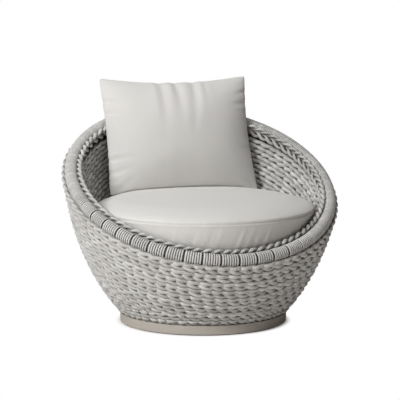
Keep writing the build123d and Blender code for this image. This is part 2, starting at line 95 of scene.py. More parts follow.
class CHAIR_PG_rope(PropertyGroup):
    """Sizes and colours of the rope work."""

    row_pitch: length("Row pitch", "Distance from row to row", 0.0169)
    leaf: length("Leaf length", "Length of one twist along a row", 0.0405)
    width: length("Strand half width", "Half width of a strand across the row", 0.0081)
    depth: length("Strand half depth", "Half depth of a strand", 0.0060)
    swing_out: length("Swing out", "How far a strand goes in front of and behind the row", 0.0066)
    swing_across: length("Swing across", "How far a strand goes up and down across the row", 0.0042)
    band_rows: whole("Foot rows", "Rows that run level round the foot", 4)
    blocks: whole("Binding blocks", "Blocks of binding round the rim", 48)
    turns: whole("Turns", "Turns of rope in a block between open gaps", 7)
    block_gap: length("Block gap", "Widest gap between blocks of binding", 0.0060)
    open_left: whole("Open left", "Gaps left of the front that stand open", 9)
    open_right: whole("Open right", "Gaps right of the front that stand open", 3)
    turn_radius: length("Turn radius", "Radius of the binding rope", 0.0030)
    braid_pitch: length("Braid pitch", "Bead length of the braid inside the rim", 0.033)
    tint: colour("Rope", "Colour of the rope", (0.635, 0.63, 0.617))
    # The rope shade is the dark end of the rope's colour: its darker yarns, and also the colour of its
    # painted shade.
    tint_dark: colour("Rope shade", "Darker yarns of the rope", (0.158, 0.146, 0.133))


class CHAIR_PG_soft(PropertyGroup):
    """Sizes and colours of the cushions."""

    seam_radius: length("Seam radius", "Radius of the seat cushion's seam", 0.4033)
    seam_height: length("Seam height", "Height of the seat cushion's seam", 0.408)
    crown: length("Crown", "Height of the crown over the seam", 0.052)
    top_radius: length("Top radius", "Radius of the flat part of the crown", 0.280)
    top_drop: length("Top drop", "Fall of the crown over that radius", 0.011)
    foot_draw: length("Foot draw", "How much narrower the cushion is at its foot", 0.0391)
    side_draw: length("Side bow", "Bow of the boxing", 0.004)
    zip_width: length("Zip width", "Width of the zip behind the seat cushion", 0.012)
    zip_half: degrees("Zip reach", "Half the angle that the zip spans", 55.0)
    pillow_width: length("Pillow width", "Width over the corners", 0.568)
    pillow_height: length("Pillow height", "Height over the corners", 0.452)
    pillow_thickness: length("Pillow thickness", "Thickness in the middle", 0.172)
    pillow_setback: length("Pillow place", "Distance of the pillow's foot behind the axis", 0.2586)
    pillow_foot: length("Pillow foot", "Height of the pillow's foot", 0.425)
    pillow_lean: degrees("Pillow lean", "Lean of the pillow", 18.0)
    draw_left: length("Left draw", "How far the left edge draws in between its corners", 0.010)
    draw_right: length("Right draw", "How far the right edge draws in between its corners", 0.016)
    draw_top: length("Top draw", "How far the top edge draws in between its corners", 0.024)
    tint: colour("Fabric", "Colour of the cushion covers", (0.66, 0.65, 0.63))
    tint_dark: colour("Fabric shade", "Darker yarns of the covers", (0.585, 0.575, 0.555))
    foam: colour("Foam", "Cut foam of the seat cushion", (0.78, 0.74, 0.62))
    wadding: colour("Wadding", "Filling of the back pillow", (0.8, 0.79, 0.77))


class CHAIR_PG_finish(PropertyGroup):
    """Colours of the hard pieces."""

    plinth: colour("Plinth", "Powder coat of the plinth", (0.445, 0.41, 0.366))
    # Frame: its own dark powder coat, also kept dark so that the gaps of the rim binding show as painted
    # shade
    frame: colour("Frame", "Powder coat of the frame", (0.075, 0.068, 0.06))
    # Rubber: black pad, whose dark edge also stands in as painted shade for the shadow line under the plinth
    rubber: colour("Rubber", "Rubber pad", (0.02, 0.019, 0.018))
    steel: colour("Steel", "Plated steel", (0.5, 0.5, 0.5))


# Bowl geometry

# Points round a row
ROUND = 1440
# Step of the walk down the bowl, its reach, and the reach of the rows
WALK_STEP, WALK_REACH, ROWS_REACH = 0.002, 0.80, 0.79
# Step of the climb up the bowl's side
CLIMB_STEP = 0.0005


def unit(vectors):
    return vectors / np.linalg.norm(vectors, axis=-1, keepdims=True)


def smooth(share):
    """Share from 0 to 1 with a soft start and end."""
    return share * share * (3 - 2 * share)


def full_turn(count):
    """Angles once round, from the front."""
    return np.linspace(0, 2 * math.pi, count, endpoint=False) - math.pi / 2


def spheroid(bowl, inset):
    """Half width, half height and centre height of the bowl's spheroid, made smaller by an inset."""
    return bowl.radius - inset, bowl.half_height - inset, bowl.centre


def slope_of(points, shape):
    """Half gradient of the spheroid at points."""
    across, up, centre = shape
    return (points - (0, 0, centre)) / (across**2, across**2, up**2)


def settle(points, shape):
    """Points moved back onto the spheroid along its normal."""
    for _ in range(2):
        grad = slope_of(points, shape)
        over = np.sum(grad * (points - (0, 0, shape[2])), -1, keepdims=True) - 1
        points = points - grad * over / (2 * np.sum(grad * grad, -1, keepdims=True))
    return points


def rim_ellipse(bowl, inset, drop):
    """Centre, half width and half length of the ellipse that the lowered rim plane cuts."""
    across, up, centre = spheroid(bowl, inset)
    tilt = bowl.rim_tilt
    height = bowl.rim_height - drop / math.cos(tilt) - centre
    bend = (math.cos(tilt) / across) ** 2 + (math.sin(tilt) / up) ** 2
    slide = -height * math.sin(tilt) / (up**2 * bend)
    scale = 1 - (height / up) ** 2 + bend * slide**2
    middle = np.array((0, slide * math.cos(tilt), height + centre + slide * math.sin(tilt)))
    return middle, across * math.sqrt(scale), math.sqrt(scale / bend)


def rim_axes(bowl):
    """Directions across, up the slope, and along the normal of the rim plane."""
    c, s = math.cos(bowl.rim_tilt), math.sin(bowl.rim_tilt)
    return np.array(((1, 0, 0), (0, c, s), (0, -s, c)), float)


def rim_curve(bowl, grow, rise, count=ROUND):
    """Points of an ellipse beside the rim, this much wider and this much higher, from the front round."""
    middle, half_width, half_length = rim_ellipse(bowl, bowl.rim_inset, 0)
    x_dir, up_dir, normal = rim_axes(bowl)
    turn = full_turn(count)[:, None]
    wide = x_dir * (half_width + grow) * np.cos(turn)
    return middle + normal * rise + wide + up_dir * (half_length + grow) * np.sin(turn)


def geodesic_rows(bowl, inset, drop):
    """Grid of points: each row lies at an equal distance below the rim, measured on the bowl."""
    shape = spheroid(bowl, inset)
    middle, half_width, half_length = rim_ellipse(bowl, inset, drop)
    x_dir, up_dir, _ = rim_axes(bowl)
    turn = full_turn(ROUND)[:, None]
    points = middle + x_dir * half_width * np.cos(turn) + up_dir * half_length * np.sin(turn)
    along = np.roll(points, -1, 0) - np.roll(points, 1, 0)
    head = unit(np.cross(along, slope_of(points, shape)))
    head *= -np.sign(head[:, 2:3])
    grid = [points]
    for _ in range(int(WALK_REACH / WALK_STEP)):
        points = settle(points + head * WALK_STEP, shape)
        normal = unit(slope_of(points, shape))
        head = unit(head - normal * np.sum(head * normal, -1, keepdims=True))
        grid.append(points)
    return np.array(grid)


def level_circle(shape, z):
    """Points round the bowl at a height."""
    across, up, centre = shape
    radius = across * math.sqrt(1 - ((z - centre) / up) ** 2)
    turn = full_turn(ROUND)
    return np.stack((radius * np.cos(turn), radius * np.sin(turn), np.full(ROUND, z)), 1)


def climb(shape, z, run):
    """Height reached by going this far up the bowl's side from a height."""
    across, up, centre = shape
    for _ in range(int(run / CLIMB_STEP)):
        radius = math.sqrt(1 - ((z - centre) / up) ** 2)
        lean = -across * (z - centre) / (up**2 * radius)
        z += CLIMB_STEP / math.hypot(1, lean)
    return z


# Strand geometry

# Phase of the leaves in the rows next to the rim
FIRST_OFFSET = 0.3
# Uneven lay of a row: share of a leaf and waves along the row
DRIFT = ((0.10, 7), (0.07, 17))
# Dye of a leaf: its mean and its spread, and the painted shade where the strand dives behind the row
DYE, DYE_SPREAD, DIVE_PAINTED_SHADE = 0.72, 0.09, 0.55
# Share by which a leaf swells where it comes up
LEAF_SWELL = 0.06
# Lie of the two rows of a pair: chevrons outside (1), flatter cords inside (-1)
ROW_STYLES = {
    1: ({"slope": -1.35, "early": 0.25, "lift": -0.0004}, {"slope": -0.15, "early": 0.55, "lift": 0.0010}),
    -1: ({"slope": -0.60, "early": -0.3, "thin": 0.97}, {"slope": 0.12, "early": 0.4, "lift": 0.0008}),
}
# Fewest points of a row that is worth a strand
SHORTEST_RUN = 24
# Corners after which a wall goes on in a new piece
PIECE_CORNERS = 75000
# Gap between the binding and a wall, and between two things that lie together
WALL_GAP, TOUCH = 0.0015, 0.0004


def walked(points):
    """Distance walked along a line at each of its points."""
    return np.concatenate(((0,), np.cumsum(np.linalg.norm(np.diff(points, axis=0), axis=1))))


def read_at(at, walk, values):
    """Rows of values read at places along a line."""
    return np.stack([np.interp(at, walk, column) for column in values.T], 1)


def resample(points, step, closed):
    """Points at equal steps along a line, their places on it and its length."""
    line = np.vstack((points, points[:1])) if closed else points
    walk = walked(line)
    count = max(4, int(round(walk[-1] / step)))
    at = np.linspace(0, walk[-1], count, endpoint=not closed)
    return read_at(at, walk, line), at, walk[-1]


def tangents(points, closed):
    if closed:
        return unit(np.roll(points, -1, 0) - np.roll(points, 1, 0))
    return unit(np.gradient(points, axis=0))


class Strands:
    """Collects tubes of rope and turns them into mesh pieces."""

    def __init__(self):
        self.verts, self.quads, self.uvs, self.tints, self.count = [], [], [], [], 0

    def tube(self, points, outward, width, depth, closed, tint, sides=6):
        """Adds a tube along points, as deep as given in the outward direction and as wide across it."""
        n = len(points)
        ahead = tangents(points, closed)
        out = unit(outward - ahead * np.sum(outward * ahead, -1, keepdims=True))
        across = np.cross(ahead, out)
        angle = np.linspace(0, 2 * math.pi, sides, endpoint=False)[:, None]
        ring = points[:, None] + out[:, None] * np.cos(angle) * depth[:, None, None]
        ring = ring + across[:, None] * np.sin(angle) * width[:, None, None]
        first = np.arange(n if closed else n - 1)
        a = first[:, None] * sides + np.arange(sides)
        b = ((first + 1) % n)[:, None] * sides + np.arange(sides)
        quads = np.stack((a, np.roll(a, -1, 1), np.roll(b, -1, 1), b), -1).reshape(-1, 4)
        walk = walked(points)
        walk = np.append(walk, 2 * walk[-1] - walk[-2])
        u0, u1 = walk[first][:, None], walk[first + 1][:, None]
        v0 = np.arange(sides) / sides
        v1 = v0 + 1 / sides
        shape = (len(first), sides)
        corner = [(u0, v0), (u0, v1), (u1, v1), (u1, v0)]
        uv = np.stack([np.stack([np.broadcast_to(x, shape) for x in c], -1) for c in corner], 2)
        self.quads.append(quads + self.count)
        self.verts.append(ring.reshape(-1, 3))
        self.uvs.append(uv.reshape(-1, 2))
        self.tints.append(np.broadcast_to(tint, (n, sides)).ravel())
        self.count += n * sides

    def piece(self, name, material):
        """Mesh object of all tubes so far, with the dye and painted shade of each point."""
        verts = np.concatenate(self.verts)
        obj = grid_object(name, verts, np.concatenate(self.quads), np.concatenate(self.uvs), material)
        shade = obj.data.attributes.new("tint", "FLOAT", "POINT")
        shade.data.foreach_set("value", np.concatenate(self.tints).astype(np.float32))
        return obj


def grid_object(name, verts, quads, uvs, material):
    """Mesh object from arrays, smooth shaded, with one UV map."""
    mesh = bpy.data.meshes.new(name)
    mesh.vertices.add(len(verts))
    mesh.vertices.foreach_set("co", verts.astype(np.float32).ravel())
    mesh.loops.add(quads.size)
    mesh.loops.foreach_set("vertex_index", quads.astype(np.int32).ravel())
    mesh.polygons.add(len(quads))
    mesh.polygons.foreach_set("loop_start", np.arange(0, quads.size, 4, dtype=np.int32))
    mesh.update(calc_edges=True)
    layer = mesh.uv_layers.new(name="Thread")
    layer.data.foreach_set("uv", uvs.astype(np.float32).ravel())
    mesh.shade_smooth()
    obj = bpy.data.objects.new(name, mesh)
    bpy.context.scene.collection.objects.link(obj)
    mesh.materials.append(material)
    return obj


def twisted_row(
    strands, line, normal_of, closed, rope, leaf, sign, offset, rng,
    slope, early, scale=1.0, step=0.0045, thin=1.0, lift=0.0, waist=0.12, recess=0.1,
):
    """One row of two-strand twining along a line: each strand comes up in turn as a plump leaf.

    slope leans the leaves across the row and early brings them up sooner. lift raises the row, thin and
    waist slim the whole strand and its hidden part, and below recess the strand gets painted shade.
    """
    points, at, total = resample(line, step, closed)
    normal = normal_of(points)
    up = np.cross(normal, tangents(points, closed))
    leaves = total / leaf
    if closed:
        leaves = 2 * max(1, round(leaves / 2))
    share = at / total
    drift = sum(size * np.sin(2 * math.pi * (share * waves + rng.random())) for size, waves in DRIFT)
    place = leaves * share + offset + drift
    for strand in (0, 1):
        angle = math.pi * (place + strand)
        out = np.cos(angle + early * np.cos(angle))
        across = sign * slope * np.sin(angle)
        shift = normal * (rope.swing_out * scale * out + lift)[:, None]
        shift += up * (rope.swing_across * scale * across)[:, None]
        plump = scale * thin * (1 - waist + (waist + LEAF_SWELL) * np.maximum(out, 0))
        number = np.floor(place + 0.5 + strand).astype(int)
        number -= number.min()
        tint = DYE + DYE_SPREAD * rng.standard_normal(number.max() + 1)
        # Painted shade: a strand is darker where it dives below recess, behind the row, where shade falls.
        tint = np.clip(tint[number] - DIVE_PAINTED_SHADE * np.clip(recess - out, 0, 1), 0, 1)
        strands.tube(points + shift, normal, rope.width * plump, rope.depth * plump, closed, tint[:, None])


def open_runs(mask):
    """Index arrays of the runs where mask is true, on a closed line that may wrap round."""
    if mask.all():
        return [(np.arange(len(mask)), True)]
    if not mask.any():
        return []
    start = int(np.argmin(mask))
    order = (np.arange(len(mask)) + start) % len(mask)
    inside = mask[order]
    edges = np.flatnonzero(np.diff(np.concatenate(((0,), inside.astype(int), (0,)))))
    return [(order[a:b], False) for a, b in zip(edges[::2], edges[1::2])]


class Wall:
    """One woven side of the bowl: rows of twining, gathered into pieces of limited size."""

    def __init__(self, name, context, inset, facing, seed):
        self.name, self.inset, self.facing = name, inset, facing
        self.bowl, self.rope = context.scene.chair_bowl, context.scene.chair_rope
        self.shape = spheroid(self.bowl, inset)
        self.rng = np.random.default_rng(seed)
        self.material = rope_of(context)
        self.pieces, self.strands = [], Strands()

    def normal_of(self, points):
        return self.facing * unit(slope_of(points, self.shape))

    def twine(self, line, closed, leaf, offset, normal_of=None, **style):
        """Adds one row along a line."""
        twisted_row(
            self.strands, line, normal_of or self.normal_of, closed, self.rope, leaf, self.facing, offset,
            self.rng, **style,
        )

    def rows(self, extra_drop, floor_z):
        """Adds the rows from below the binding down to a height."""
        rope = self.rope
        drop = self.bowl.wrap_radius + WALL_GAP + rope.width + extra_drop
        grid = geodesic_rows(self.bowl, self.inset, drop)
        offset = FIRST_OFFSET
        for k in range(int(ROWS_REACH / rope.row_pitch)):
            spot = k * rope.row_pitch / WALK_STEP
            low = int(spot)
            line = grid[low] + (grid[low + 1] - grid[low]) * (spot - low)
            if k % 2:
                offset = self.rng.random() * 2
            for index, closed in open_runs(line[:, 2] > floor_z):
                if len(index) >= SHORTEST_RUN:
                    self.twine(line[index], closed, rope.leaf, offset, **ROW_STYLES[self.facing][k % 2])
            if self.strands.count > PIECE_CORNERS:
                self.end_piece()

    def end_piece(self):
        """Turns the strands so far into a piece."""
        if self.strands.count:
            name = "%s_%d" % (self.name, len(self.pieces) + 1)
            self.pieces.append(self.strands.piece(name, self.material))
        self.strands = Strands()

    def hang(self, node):
        """Ends the last piece and lets all of them stand for a CAD node."""
        self.end_piece()
        if not self.pieces:
            raise RuntimeError(self.name + " has no rows")
        take(self.pieces, "bowl", "rope", node)


# Materials

# Rope sheath: length of a yarn's wave along the rope, and yarns round it
SHEATH_PITCH, SHEATH_YARNS = 0.011, 3
# Cloth: distance from yarn to yarn, and stretch of the slubs along and across a yarn
YARN_PITCH, SLUBS = 0.0016, ((35.0, 900.0, 1.0), (900.0, 35.0, 1.0))
# Darkest part of an uneven coat, as a share of its colour, and spread of its roughness
COAT_SHADE, COAT_SPREAD = 0.88, 0.12
# Floor: its two colours, and the radii between which it runs out to white
FLOOR_TINTS, FLOOR_FADE = ((0.94, 0.92, 0.895), (0.965, 0.945, 0.92)), (0.288, 0.322)


class Tree:
    """A material's node tree with short ways to add and join nodes."""

    def __init__(self, name, roughness, specular):
        self.material = bpy.data.materials.new(name)
        self.material.use_nodes = True
        self.nodes = self.material.node_tree.nodes
        self.join = self.material.node_tree.links.new
        self.shader = self.nodes["Principled BSDF"]
        self.value("Roughness", roughness)
        self.value("Specular IOR Level", specular)

    def value(self, key, value):
        """Sets one of the shader's own values."""
        self.shader.inputs[key].default_value = value

    def maths(self, operation, *values):
        """Result of an operation on sockets or plain numbers."""
        node = self.nodes.new("ShaderNodeMath")
        node.operation = operation
        for socket, value in zip(node.inputs, values):
            if isinstance(value, (int, float)):
                socket.default_value = value
            else:
                self.join(value, socket)
        return node.outputs[0]

    def total(self, start, *terms):
        """A value with weighted values added to it."""
        for value, weight in terms:
            start = self.maths("MULTIPLY_ADD", value, weight, start)
        return start

    def vector_maths(self, operation, vector):
        node = self.nodes.new("ShaderNodeVectorMath")
        node.operation = operation
        self.join(vector, node.inputs[0])
        return node

    def clamp(self, value):
        node = self.nodes.new("ShaderNodeClamp")
        self.join(value, node.inputs[0])
        return node.outputs[0]

    def noise(self, vector, scale, detail=3.0, roughness=0.5):
        node = self.nodes.new("ShaderNodeTexNoise")
        for key, value in (("Scale", scale), ("Detail", detail), ("Roughness", roughness)):
            node.inputs[key].default_value = value
        self.join(vector, node.inputs["Vector"])
        return node.outputs["Fac"]

    def paint(self, factor, first, second):
        """Colours the surface between two colours by a factor."""
        node = self.nodes.new("ShaderNodeMix")
        node.data_type = "RGBA"
        self.join(factor, node.inputs["Factor"])
        node.inputs[6].default_value = (*first, 1)
        node.inputs[7].default_value = (*second, 1)
        self.join(node.outputs[2], self.shader.inputs["Base Color"])

    def bump(self, height, distance, strength):
        node = self.nodes.new("ShaderNodeBump")
        node.inputs["Strength"].default_value = strength
        node.inputs["Distance"].default_value = distance
        self.join(height, node.inputs["Height"])
        self.join(node.outputs["Normal"], self.shader.inputs["Normal"])

    def object_place(self):
        return self.nodes.new("ShaderNodeTexCoord").outputs["Object"]

    def thread(self):
        """The UV map and its two sides."""
        uv = self.nodes.new("ShaderNodeUVMap")
        uv.uv_map = "Thread"
        split = self.nodes.new("ShaderNodeSeparateXYZ")
        self.join(uv.outputs["UV"], split.inputs[0])
        return uv.outputs["UV"], split.outputs[0], split.outputs[1]


def rope_material(name, rope):
    """Round outdoor rope with a braided sheath, slightly uneven dye, and painted shade on its flanks and in
    its recesses.
    """
    tree = Tree(name, roughness=0.82, specular=0.25)
    place = tree.object_place()
    _, run, side = tree.thread()
    along = tree.maths("MULTIPLY", run, 2 * math.pi / SHEATH_PITCH)
    around = tree.maths("MULTIPLY", side, 2 * math.pi * SHEATH_YARNS)
    left = tree.maths("SINE", tree.maths("ADD", along, around))
    right = tree.maths("SINE", tree.maths("SUBTRACT", along, around))
    sheath = tree.maths("MAXIMUM", left, right)
    # The point attribute holds each strand's dye together with its painted shade.
    dye_and_shade = tree.nodes.new("ShaderNodeAttribute")
    dye_and_shade.attribute_name = "tint"
    cloudy = tree.maths("SUBTRACT", tree.noise(place, scale=55.0, detail=4.0, roughness=0.6), 0.5)
    level = tree.total(dye_and_shade.outputs["Fac"], (cloudy, 0.5), (sheath, 0.06))
    # Painted shade: the rope is darker on its flanks and back, away from its crown, where shade falls
    # between strands.
    crown = tree.maths("COSINE", tree.maths("MULTIPLY", side, 2 * math.pi))
    painted_flank_shade = tree.clamp(tree.total(0.55, (crown, 0.60)))
    tree.paint(tree.clamp(tree.maths("MULTIPLY", level, painted_flank_shade)), rope.tint_dark, rope.tint)
    fuzz = tree.noise(place, scale=900.0, detail=2.0)
    tree.bump(tree.total(0.0, (sheath, 0.7), (fuzz, 0.5)), distance=0.0006, strength=0.7)
    tree.value("Sheen Weight", 0.15)
    return tree.material


def fabric_material(name, soft):
    """Plain-woven outdoor cloth with slubby yarns."""
    tree = Tree(name, roughness=0.88, specular=0.2)
    uv, *sides = tree.thread()
    phases = [tree.maths("MULTIPLY", side, 2 * math.pi / YARN_PITCH) for side in sides]
    weave = tree.maths("MULTIPLY", *(tree.maths("SINE", phase) for phase in phases))
    slub = 0.0
    for scale in SLUBS:
        stretch = tree.vector_maths("MULTIPLY", uv)
        stretch.inputs[1].default_value = scale
        slub = tree.total(slub, (tree.noise(stretch.outputs[0], scale=1.0, detail=2.0), 0.5))
    cloudy = tree.noise(tree.object_place(), scale=9.0)
    level = tree.total(0.0, (slub, 0.9), (cloudy, 0.35), (weave, 0.08))
    tree.paint(tree.clamp(level), soft.tint_dark, soft.tint)
    tree.bump(tree.total(slub, (weave, 0.4)), distance=0.00035, strength=0.5)
    tree.value("Sheen Weight", 0.2)
    tree.value("Sheen Roughness", 0.6)
    return tree.material


def coat_material(name, tint, roughness, metallic=0.0, grain=700.0, depth=0.00012):
    """Painted, plated or moulded surface with a fine grain and slight unevenness."""
    tree = Tree(name, roughness, specular=0.4)
    place = tree.object_place()
    tree.paint(tree.noise(place, scale=14.0), tuple(COAT_SHADE * c for c in tint), tint)
    tree.value("Metallic", metallic)
    fine = tree.noise(place, grain, detail=2.0)
    tree.join(tree.total(roughness - COAT_SPREAD / 2, (fine, COAT_SPREAD)), tree.shader.inputs["Roughness"])
    tree.bump(fine, depth, strength=0.6)
    return tree.material


def floor_material():
    """Pale floor that keeps the chair's soft shadow and runs out to white."""
    tree = Tree("floor", roughness=0.9, specular=0.1)
    place = tree.object_place()
    fade = tree.nodes.new("ShaderNodeMapRange")
    fade.interpolation_type = "SMOOTHSTEP"
    fade.inputs["From Min"].default_value = FLOOR_FADE[0]
    fade.inputs["From Max"].default_value = FLOOR_FADE[1]
    tree.join(tree.vector_maths("LENGTH", place).outputs["Value"], fade.inputs[0])
    tree.paint(tree.noise(place, scale=40.0), *FLOOR_TINTS)
    ray = tree.nodes.new("ShaderNodeLightPath")
    white = tree.nodes.new("ShaderNodeEmission")
    mixer = tree.nodes.new("ShaderNodeMixShader")
    tree.join(tree.maths("MULTIPLY", fade.outputs[0], ray.outputs["Is Camera Ray"]), mixer.inputs[0])
    tree.join(tree.shader.outputs[0], mixer.inputs[1])
    tree.join(white.outputs[0], mixer.inputs[2])
    tree.join(mixer.outputs[0], tree.nodes["Material Output"].inputs["Surface"])
    return tree.material


def material_of(make, name, *values, **more):
    """The material of a name, made where it isn't there yet."""
    return bpy.data.materials.get(name) or make(name, *values, **more)


def rope_of(context):
    return material_of(rope_material, "twined rope", context.scene.chair_rope)


def take(pieces, body, slot, *nodes):
    """Pieces move with a body and stand for CAD nodes; the material slot is not used."""
    for piece in pieces:
        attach(piece, body)
        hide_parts(*nodes)


# Rope walls

# Height of the lowest row over the foot in strand half widths, and level rows that the wall runs behind
FOOT_STAND, ROWS_BEHIND = 0.8, 1.1
# Scale and share of a leaf in the lowest row and in the other level rows, and phase from pair to pair
LOWEST_ROW, LEVEL_ROW, LEVEL_OFFSET = (0.72, 0.66), (1.0, 0.9), 0.37
# Inner wall: how much lower than the outer one it starts, and how far above the slats it ends
INNER_DROP, INNER_END = 0.005, 0.008
# Row that closes the inner wall under the binding: gap to it, drop below its centre, share of a leaf
EDGE_GAP, EDGE_DROP, EDGE_LEAF = 0.003, 0.011, 0.9
# How much of the way to the bowl's middle that row faces, across and up
EDGE_FACING = (1, 1, 0.4)


class CHAIR_OT_outer_wall(Operator):
    """Twines the outer wall of the bowl"""

    bl_idname = "chair.outer_wall"
    bl_label = "Twine Outer Wall"

    def execute(self, context):
        bowl, rope = context.scene.chair_bowl, context.scene.chair_rope
        wall = Wall("outer_rows", context, bowl.wall / 2, 1, seed=11)
        foot = climb(wall.shape, bowl.foot, rope.width * FOOT_STAND)
        wall.rows(0.0, climb(wall.shape, foot, (rope.band_rows - ROWS_BEHIND) * rope.row_pitch))
        for k in range(rope.band_rows):
            line = level_circle(wall.shape, climb(wall.shape, foot, k * rope.row_pitch))
            scale, share = LEVEL_ROW if k else LOWEST_ROW
            offset = (k + 1) // 2 * LEVEL_OFFSET
            wall.twine(line, True, rope.leaf * share, offset, scale=scale, **ROW_STYLES[1][k % 2])
        wall.hang("outer_weave")
        return {"FINISHED"}


class CHAIR_OT_inner_wall(Operator):
    """Twines the inner wall of the bowl above the seat"""

    bl_idname = "chair.inner_wall"
    bl_label = "Twine Inner Wall"

    def execute(self, context):
        bowl, rope = context.scene.chair_bowl, context.scene.chair_rope
        wall = Wall("inner_rows", context, bowl.inner_back + bowl.wall / 2, -1, seed=23)
        wall.rows(INNER_DROP, bowl.seat_top + INNER_END)
        middle = rim_ellipse(bowl, bowl.rim_inset, 0)[0]

        def inward(points):
            return unit((middle - points) * EDGE_FACING)

        line = rim_curve(bowl, -bowl.wrap_radius - EDGE_GAP, -EDGE_DROP)
        wall.twine(line, True, rope.leaf * EDGE_LEAF, 0.0, inward, scale=0.86, slope=2.5, early=0.1)
        wall.hang("inner_weave")
        return {"FINISHED"}


# Rim

# Blocks over which the open gaps of the binding fade out
GAP_FADE = 2.5
# Step along the rim, points in a turn, its width over its height, and the angle where a block starts
RIM_STEP, TURN_POINTS, TURN_WIDTH, TURN_START = 0.0005, 24, 1.18, math.pi * 0.3
# Part of a turn after which it steps over to the next one
STEP_OVER = 0.8
# First turn of a block: how long it is, and by how much it is thicker
LEAD_TURN, LEAD_GROW = 0.9, 0.14
# Dye of a block: its mean, what the first turn has more, and the spread
BLOCK_DYE, LEAD_DYE, BLOCK_SPREAD = 0.90, 0.10, 0.05
# Painted shade round a turn, from its outside: the share of the dye kept, dark where turns meet and shade
# falls
FLANK_PAINTED_SHADE = np.array((1.0, 0.82, 0.3, 0.0, 0.0, 0.0, 0.3, 0.82))
# Braid inside the rim: radius, height over the rim's centre, and how far it sinks into the binding
BRAID_RADIUS, BRAID_RISE, BRAID_SINK = 0.010, 0.011, 0.0025
# Lift of that braid in front, the place where it ends behind and the length over which it fades
BRAID_LIFT, LIFT_END, LIFT_FADE = 0.004, 0.24, 0.4
# Row outside the rim: radius, and how far it sinks into the binding
CORD_RADIUS, CORD_SINK = 0.007, 0.003


def gap_width(rope, number):
    """Gap before a block, counted round from the front: open in front, closing over a few blocks beyond."""
    half = rope.blocks // 2
    number = (number + half) % rope.blocks - half
    beyond = max(number - rope.open_right, -rope.open_left - number, 0)
    return rope.block_gap * max(0.0, 1 - beyond / GAP_FADE)


def rim_binding(bowl, rope, rng):
    """Turns of rope round the rim, in blocks."""
    strands = Strands()
    line, at, total = resample(rim_curve(bowl, 0, 0, 3 * ROUND), RIM_STEP, True)
    up = np.broadcast_to(rim_axes(bowl)[2], line.shape)
    side = np.cross(tangents(line, True), up)
    pitch = total / rope.blocks
    coil = bowl.wrap_radius - rope.turn_radius
    half_turn = TURN_WIDTH * rope.turn_radius
    turn_pitch = (pitch - rope.block_gap - 2 * half_turn) / (rope.turns - 1)
    for k in range(rope.blocks):
        first = k * pitch + gap_width(rope, k) / 2 + half_turn
        last = (k + 1) * pitch - gap_width(rope, k + 1) / 2 - half_turn
        steps = round((last - first) / turn_pitch)
        turned = np.linspace(0, steps + 1, (steps + 1) * TURN_POINTS + 1)
        over = np.clip((turned % 1 - STEP_OVER) / (1 - STEP_OVER), 0, 1)
        laid = np.minimum(np.floor(turned) + smooth(over), steps)
        spot = first + (last - first) * laid / steps
        turn = 2 * math.pi * turned - TURN_START
        middle, above, beside = (read_at(spot, at, values) for values in (line, up, side))
        out = above * np.sin(turn)[:, None] + beside * np.cos(turn)[:, None]
        lead = (turned < LEAD_TURN).astype(float)
        grow = 1 + LEAD_GROW * lead
        tint = np.clip(BLOCK_DYE + LEAD_DYE * lead + BLOCK_SPREAD * rng.standard_normal(), 0, 1)
        # Painted shade: each turn is darker on its flanks, where it meets the next turn.
        tint = tint[:, None] * FLANK_PAINTED_SHADE
        width, depth = half_turn * grow, rope.turn_radius * grow
        strands.tube(middle + out * coil, out, width, depth, False, tint, sides=len(FLANK_PAINTED_SHADE))
    return strands


def step_beside(bowl, radius, rise):
    """Distance across from the rim's centre to a rope that lies on the binding at a height."""
    return math.sqrt((bowl.wrap_radius + radius + TOUCH) ** 2 - rise**2)


def inner_braid(bowl, rope, rng):
    """Beaded braid along the inner edge of the rim, a little higher in front."""
    strands = Strands()
    upward = rim_axes(bowl)[2]
    line = rim_curve(bowl, BRAID_SINK - step_beside(bowl, BRAID_RADIUS, BRAID_RISE), BRAID_RISE)
    line += upward * BRAID_LIFT * np.clip((LIFT_END - line[:, 1:2]) / LIFT_FADE, 0, 1)
    # recess=0.55 gives the braid's strands painted shade over most of their sunken part.
    twisted_row(
        strands, line, lambda points: np.broadcast_to(upward, points.shape), True, rope, rope.braid_pitch,
        1, 0.0, rng, scale=0.84, step=0.0036, slope=1.4, early=0.2, waist=0.18, recess=0.55,
    )
    return strands


def outer_braid(bowl, rope, rng):
    """Thick twisted row along the outer edge of the rim."""
    strands = Strands()
    shape = spheroid(bowl, 0.0)
    drop = bowl.wrap_radius + WALL_GAP - CORD_RADIUS - TOUCH
    line = rim_curve(bowl, step_beside(bowl, CORD_RADIUS, drop) - CORD_SINK, -drop)
    twisted_row(
        strands, line, lambda points: unit(slope_of(points, shape)), True, rope, rope.leaf,
        1, FIRST_OFFSET, rng, scale=0.95, slope=0.35, early=0.55,
    )
    return strands


class CHAIR_OT_rim(Operator):
    """Binds the rim in blocks and lays the braids beside it"""

    bl_idname = "chair.rim"
    bl_label = "Bind Rim"

    def execute(self, context):
        rng = np.random.default_rng(5)
        for name, make, node in (
            ("rim_binding", rim_binding, "rim_wrap"),
            ("inner_braid", inner_braid, "rim_inner_braid"),
            ("outer_braid", outer_braid, "rim_outer_braid"),
        ):
            strands = make(context.scene.chair_bowl, context.scene.chair_rope, rng)
            take([strands.piece(name, rope_of(context))], "bowl", "rope", node)
        return {"FINISHED"}


# Seat cushion

# Points on the fine outline: foot, side, shoulder and crown
OUTLINE_POINTS = (100, 120, 120, 200)
# Steps of the mesh on the foot, the side and the crown, steps round, and where the crown's steps begin
MESH_STEPS, MESH_ROUND, CROWN_START = (20, 68, 54), 600, 0.02
# Steps of the outline from which the height of the top is read
HEIGHT_STEPS = (20, 60, 300)
# Ridges of the cloth: least width, its spread, and how far the lowest lies under the cloth
RIDGE_LEAST, RIDGE_SPREAD, RIDGE_BELOW = 0.6, 0.8, 0.35
